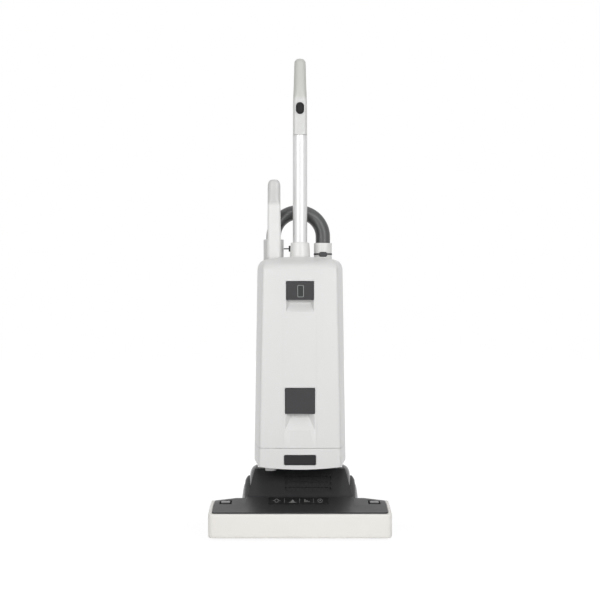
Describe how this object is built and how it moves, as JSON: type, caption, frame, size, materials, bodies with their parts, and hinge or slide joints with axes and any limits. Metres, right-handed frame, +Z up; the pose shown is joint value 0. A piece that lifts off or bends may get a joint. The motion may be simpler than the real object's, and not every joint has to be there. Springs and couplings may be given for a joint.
{
  "type": "upright vacuum cleaner",
  "caption": "Commercial upright vacuum cleaner with a wide brush head, tilting body, tube handle, and a suction wand on a short ribbed hose.",
  "frame": {"origin": "centre of the machine's footprint box, on the floor", "axes": "+Z up, the front of the machine faces -Y, +X to the right seen from the front"},
  "size_m": [0.437, 0.33, 1.186],
  "materials": {
    "pale_shell": "moulded light grey plastic, fine satin grain",
    "pale_grip": "moulded light grey plastic, soft matt grain",
    "bumper_pale": "moulded off-white bumper plastic",
    "dark_cover": "moulded charcoal plastic, fine grain",
    "cheek_grey": "moulded dark grey plastic, semi-gloss",
    "latch_dark": "moulded dark grey plastic, satin",
    "black_plastic": "moulded black plastic",
    "window_clear": "smoked clear plastic",
    "chrome_tube": "bright drawn and plated steel tube",
    "steel": "turned steel",
    "tyre_rubber": "moulded dark grey soft tyre",
    "hose_ribbed": "ribbed flexible hose, charcoal",
    "seal_rubber": "black foam rubber",
    "bristle": "nylon bristles",
    "brush_wood": "moulded brush roller",
    "belt_rubber": "toothed belt rubber",
    "motor_metal": "zinc-plated motor can",
    "chassis_dark": "moulded black-grey chassis plastic",
    "board_green": "circuit board with components",
    "duct_grey": "moulded mid grey plastic",
    "filter_fleece": "white filter fleece",
    "filter_foam": "grey open-cell filter",
    "bag_fleece": "non-woven filter fleece",
    "card_blue": "bag collar plate"
  },
  "bodies": {
    "head": {"chassis": "chassis_dark", "sole_plate": "chassis_dark", "sole_screws": "steel", "bumper": "bumper_pale", "head_cover": "dark_cover", "motor_hood": "dark_cover", "cheek_left": "cheek_grey", "cheek_right": "cheek_grey", "head_pins": "steel", "brush_bearings": "steel", "brush_motor": "motor_metal", "drive_belt": "belt_rubber", "head_duct": "chassis_dark", "control_board": "board_green"},
    "catch_left": {"catch_left": "dark_cover"},
    "catch_right": {"catch_right": "dark_cover"},
    "wheel_left": {"wheel_tyre_left": "tyre_rubber", "wheel_hub_left": "cheek_grey"},
    "wheel_right": {"wheel_tyre_right": "tyre_rubber", "wheel_hub_right": "cheek_grey"},
    "roller_left": {"front_roller_left": "black_plastic"},
    "roller_right": {"front_roller_right": "black_plastic"},
    "brush": {"brush_core": "brush_wood", "brush_bristles": "bristle", "brush_pulley": "duct_grey"},
    "brush_drive": {"drive_pulley": "steel"},
    "pedal": {"foot_pedal": "black_plastic"},
    "upper": {"neck_yoke": "chassis_dark", "pivot_bushes": "duct_grey", "lower_cover": "pale_shell", "rear_housing": "pale_shell", "motor_housing": "motor_metal", "pre_filter": "filter_foam", "exhaust_filter": "filter_fleece", "filter_bag": "bag_fleece", "bag_collar": "card_blue", "airway_duct": "duct_grey", "hose_port": "pale_shell", "port_seal": "seal_rubber", "hose": "hose_ribbed", "tube_collar": "pale_shell", "handle_tube": "chrome_tube", "grip": "pale_grip", "lower_hook": "black_plastic", "switch_block": "black_plastic", "cord_gland": "black_plastic", "housing_screws": "steel"},
    "service_button": {"service_button": "latch_dark"},
    "door": {"door": "pale_shell", "door_seal": "seal_rubber"},
    "latch_upper": {"latch_upper": "latch_dark", "fill_window": "window_clear"},
    "latch_lower": {"latch_lower": "latch_dark"},
    "fan": {"fan_rotor": "steel"},
    "hose_clip": {"hose_clip": "latch_dark"},
    "wand": {"wand_tube": "pale_grip", "wand_grip": "pale_grip"},
    "wand_lock": {"wand_lock": "black_plastic"},
    "power_button": {"power_button": "black_plastic"},
    "upper_hook": {"upper_hook": "black_plastic"}
  },
  "joints": [
    {"name": "body_tilt", "type": "hinge", "parent": "head", "child": "upper", "pos_m": [0, 0.085, 0.061], "axis": [-1, 0, 0], "range_deg": [0, 80]},
    {"name": "wheel_left_spin", "type": "hinge", "parent": "head", "child": "wheel_left", "pos_m": [0, 0.085, 0.061], "axis": [1, 0, 0], "continuous": true},
    {"name": "wheel_right_spin", "type": "hinge", "parent": "head", "child": "wheel_right", "pos_m": [0, 0.085, 0.061], "axis": [1, 0, 0], "continuous": true},
    {"name": "roller_left_spin", "type": "hinge", "parent": "head", "child": "roller_left", "pos_m": [0, -0.057, 0.012], "axis": [1, 0, 0], "continuous": true},
    {"name": "roller_right_spin", "type": "hinge", "parent": "head", "child": "roller_right", "pos_m": [0, -0.057, 0.012], "axis": [1, 0, 0], "continuous": true},
    {"name": "brush_spin", "type": "hinge", "parent": "head", "child": "brush", "pos_m": [0, -0.115, 0.031], "axis": [1, 0, 0], "continuous": true},
    {"name": "brush_drive_spin", "type": "hinge", "parent": "head", "child": "brush_drive", "pos_m": [0, -0.05, 0.046], "axis": [1, 0, 0], "continuous": true},
    {"name": "pedal_press", "type": "hinge", "parent": "head", "child": "pedal", "pos_m": [0, 0.128, 0.024], "axis": [-1, 0, 0], "range_deg": [0, 12], "stiffness_Nm_per_rad": 2, "springref_deg": -11.46},
    {"name": "catch_left_press", "type": "slide", "parent": "head", "child": "catch_left", "axis": [0, 0, -1], "range_m": [0, 0.002], "stiffness_N_per_m": 400, "springref_m": -0.002},
    {"name": "catch_right_press", "type": "slide", "parent": "head", "child": "catch_right", "axis": [0, 0, -1], "range_m": [0, 0.002], "stiffness_N_per_m": 400, "springref_m": -0.002},
    {"name": "door_hinge", "type": "hinge", "parent": "upper", "child": "door", "pos_m": [0, -0.0776, 0.2094], "axis": [1, 0, 0], "range_deg": [0, 75]},
    {"name": "latch_upper_pull", "type": "hinge", "parent": "door", "child": "latch_upper", "pos_m": [0, -0.06503, 0.611], "axis": [-1, 0, 0], "range_deg": [0, 20], "stiffness_Nm_per_rad": 0.3, "springref_deg": -17.19},
    {"name": "latch_lower_pull", "type": "hinge", "parent": "door", "child": "latch_lower", "pos_m": [0, -0.07066, 0.351], "axis": [-1, 0, 0], "range_deg": [0, 20], "stiffness_Nm_per_rad": 0.3, "springref_deg": -17.19},
    {"name": "service_button_press", "type": "slide", "parent": "upper", "child": "service_button", "axis": [0, 1, 0], "range_m": [0, 0.002], "stiffness_N_per_m": 400, "springref_m": -0.002},
    {"name": "power_button_press", "type": "slide", "parent": "upper", "child": "power_button", "axis": [0, 1, 0], "range_m": [0, 0.0025], "stiffness_N_per_m": 400, "springref_m": -0.002},
    {"name": "fan_spin", "type": "hinge", "parent": "upper", "child": "fan", "pos_m": [0.02, 0.02, 0.28], "axis": [0, 0, 1], "continuous": true},
    {"name": "hose_clip_press", "type": "slide", "parent": "upper", "child": "hose_clip", "axis": [0, 1, 0], "range_m": [0, 0.0012], "stiffness_N_per_m": 400, "springref_m": -0.002},
    {"name": "wand_lift", "type": "slide", "parent": "upper", "child": "wand", "axis": [0, 0, 1], "range_m": [0, 0.18], "deforming": ["hose"]},
    {"name": "wand_lock_pull", "type": "slide", "parent": "upper", "child": "wand_lock", "axis": [1, 0, 0], "range_m": [0, 0.004], "stiffness_N_per_m": 400, "springref_m": -0.002},
    {"name": "hook_turn", "type": "hinge", "parent": "upper", "child": "upper_hook", "pos_m": [0, 0.0526, 1.017], "axis": [0, 1, 0], "range_deg": [0, 180]}
  ],
  "couplings": [
    {"joint": "brush_drive_spin", "follows": "brush_spin", "ratio": 1.75}
  ]
}
